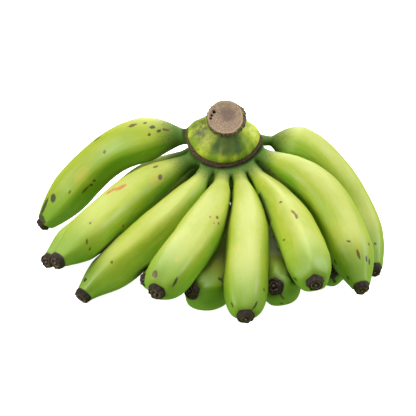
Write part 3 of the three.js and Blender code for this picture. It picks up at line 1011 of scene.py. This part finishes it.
dry = between(tree, noise(tree, squashed, 0.0016, 4.0, 0.65), 0.3, 0.7)
brown = blend(tree, dry, colour("#352a1e"), colour("#6a573f"))
skin_side = blend(tree, strength(tree, "scar"), green, brown)
stump = reckon(tree, "ADD", strength(tree, "stump"),
               reckon(tree, "MULTIPLY_ADD", noise(tree, flat_place, 0.005, 3.0, 0.6), 0.8, -0.4))
stump_bark = blend(tree, dry, colour("#3c3428"), colour("#83745c"))
skin_side = blend(tree, between(tree, stump, 0.35, 0.8), skin_side, stump_bark)

bundle = node(tree, "ShaderNodeTexVoronoi", {"Vector": flat_place, "Scale": 700.0}).outputs["Distance"]
speckle = between(tree, bundle, 0.15, 0.6)
pale = blend(tree, speckle, colour("#ab937e"), colour("#8c7561"))
moved = node(tree, "ShaderNodeMapping", {"Vector": flat_place, "Location": (-0.0015, 0.0035, 0.0),
                                         "Scale": (1, 1, 0)}).outputs[0]
from_pith = node(tree, "ShaderNodeVectorMath", {0: moved}, operation="LENGTH").outputs["Value"]
pith_edge = reckon(tree, "MULTIPLY_ADD", noise(tree, flat_place, 0.006, 4.0, 0.65), 0.012, from_pith)
pith = between(tree, pith_edge, 0.010, 0.017, 1.0, 0.0)
wood = blend(tree, reckon(tree, "MULTIPLY", pith, 0.8), pale, colour("#6a5850"))
white = between(tree, noise(tree, flat_place, 0.0012, 2.0, 0.7), 0.6, 0.72, 0.0, 0.5)
wood = blend(tree, white, wood, colour("#c9b9a6"))
rim = between(tree, strength(tree, "rim"), 0.9, 0.97, 0.0, 0.75)
wood = blend(tree, rim, wood, colour("#b89c7c"))
browned = between(tree, strength(tree, "rim"), 0.965, 0.99, 0.0, 0.8)
wood = blend(tree, browned, wood, colour("#6b503a"))
wood = blend(tree, strength(tree, "hole"), wood, colour("#1b130e"))
paint = blend(tree, strength(tree, "face"), skin_side, wood)

grain = noise(tree, flat_place, 0.0009, 3.0, 0.65)
coarse = noise(tree, squashed, 0.003, 3.0, 0.6)
height = reckon(tree, "ADD", grain, coarse)
dryness = reckon(tree, "MAXIMUM", strength(tree, "face"),
                 reckon(tree, "MAXIMUM", strength(tree, "scar"), strength(tree, "stump")))
bump = node(tree, "ShaderNodeBump", {"Height": height, "Distance": 0.0006,
                                     "Strength": between(tree, dryness, 0.0, 1.0, 0.15, 0.6)})
shader = node(tree, "ShaderNodeBsdfPrincipled",
              {"Base Color": paint, "Roughness": between(tree, dryness, 0.0, 1.0, 0.5, 0.88),
               "IOR": 1.45, "Normal": bump.outputs[0]})
node(tree, "ShaderNodeOutputMaterial", {"Surface": shader.outputs[0]})

piece = skin_mesh("cushion_and_stump", points, [bark], cushion_attributes)
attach(piece, "root")
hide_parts("crown")
print("cushion:", points.shape[0] * points.shape[1], "points")

# %% [markdown]
# ## Blossom ends
# Where the flower fell a finger keeps a dry dark plug. Its outline is a pentagon, because the ridges
# run into its corners, and on its face are the rings where the flower's parts broke away one inside
# another. It is drawn as a grid, like the fingers.

# %% Blossom shape
blossom_columns = 60
# Past the finger's end in millimetres, and share of the end's radius.
blossom_sections = [
    (-2.5, 0.82), (-1.0, 0.92), (0.2, 0.96), (1.6, 0.95), (3.0, 0.9), (4.2, 0.83), (5.0, 0.76),
    (4.8, 0.72), (4.1, 0.67), (4.3, 0.6), (4.9, 0.53), (4.5, 0.45), (4.1, 0.36), (4.6, 0.27),
    (5.1, 0.18), (5.2, 0.08), (5.1, 0.01)]


def blossom_end(finger, paints):
    """A plug past the finger's end: a profile turned round it, with a pentagon's outline that fades
    towards the middle, and flakes on its rim."""
    profile = through(blossom_sections, 3)
    past, share = profile[:, 0], np.maximum(profile[:, 1], 0.01)
    distance = finger["length"] + past
    middle, way_on, side, over = section_frames(finger, distance)
    turn, way = ring_directions(side, over, blossom_columns)
    end = end_share * finger["full"]
    seed = finger["seed"]
    outline = 1 + 0.015 * corners_at(turn, 0.6) * (1 + 0.9 * np.sin(turn + 2.1 * seed))
    outline = outline + 0.06 * np.sin(2 * turn + seed) + 0.04 * np.sin(3 * turn + 2 * seed)
    fading = smooth(share * 1.6)[:, None]
    reach = end * share[:, None] * (1 + (outline - 1) * fading)
    flat = np.stack([reach * np.cos(turn), reach * np.sin(turn), past[:, None] + 0 * turn], -1)
    dried = smooth(past / 2)[:, None]
    reach = reach + dried * fading * (0.6 * ripple(flat, seed, 4) + 0.25 * ripple(flat, 7, 1.8))
    lift = dried * 0.6 * ripple(flat, seed + 9, 3.5)
    points = middle[:, None] + way * reach[..., None] + way_on[:, None] * lift[..., None]
    points[..., 2] = np.maximum(points[..., 2], 0)
    on_face = np.arange(len(past))[:, None] > len(past) * 0.36
    attributes = {"flat": flat * MM, "ring": np.where(on_face, share[:, None], 1.2) + 0 * turn}
    return skin_mesh(f"blossom_{finger['name']}", points, paints, attributes)


# %% Blossom material
husk, tree = material("dried flower base, brittle and matt")
flat_place = node(tree, "ShaderNodeAttribute", attribute_name="flat").outputs["Vector"]
ring = reckon(tree, "MULTIPLY_ADD", noise(tree, flat_place, 0.003, 3.0, 0.6), 0.16,
              reckon(tree, "SUBTRACT", strength(tree, "ring"), 0.08))
rings = node(tree, "ShaderNodeValToRGB", {"Fac": ring}, stops=[
    (0.0, colour("#8a7a66")), (0.09, colour("#6b5a4c")), (0.17, colour("#241b18")),
    (0.42, colour("#2c2220")), (0.52, colour("#7d6754")), (0.6, colour("#33272a")),
    (0.74, colour("#2a2020")), (0.85, colour("#8a735b")), (0.94, colour("#2b211b"))]).outputs[0]
crumb = between(tree, noise(tree, flat_place, 0.0012, 4.0, 0.7), 0.5, 0.78, 0.0, 0.45)
paint = blend(tree, crumb, rings, colour("#6e5a48"))
height = noise(tree, flat_place, 0.0011, 4.0, 0.7)
bump = node(tree, "ShaderNodeBump", {"Height": height, "Strength": 0.7, "Distance": 0.0006})
shader = node(tree, "ShaderNodeBsdfPrincipled",
              {"Base Color": paint, "Roughness": 0.82, "IOR": 1.45, "Normal": bump.outputs[0]})
node(tree, "ShaderNodeOutputMaterial", {"Surface": shader.outputs[0]})

for finger in fingers:
    piece = blossom_end(finger, [husk])
    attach(piece, "root")
    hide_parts(f"blossom_end_{finger['name']}")
print("blossom ends:", len(fingers))
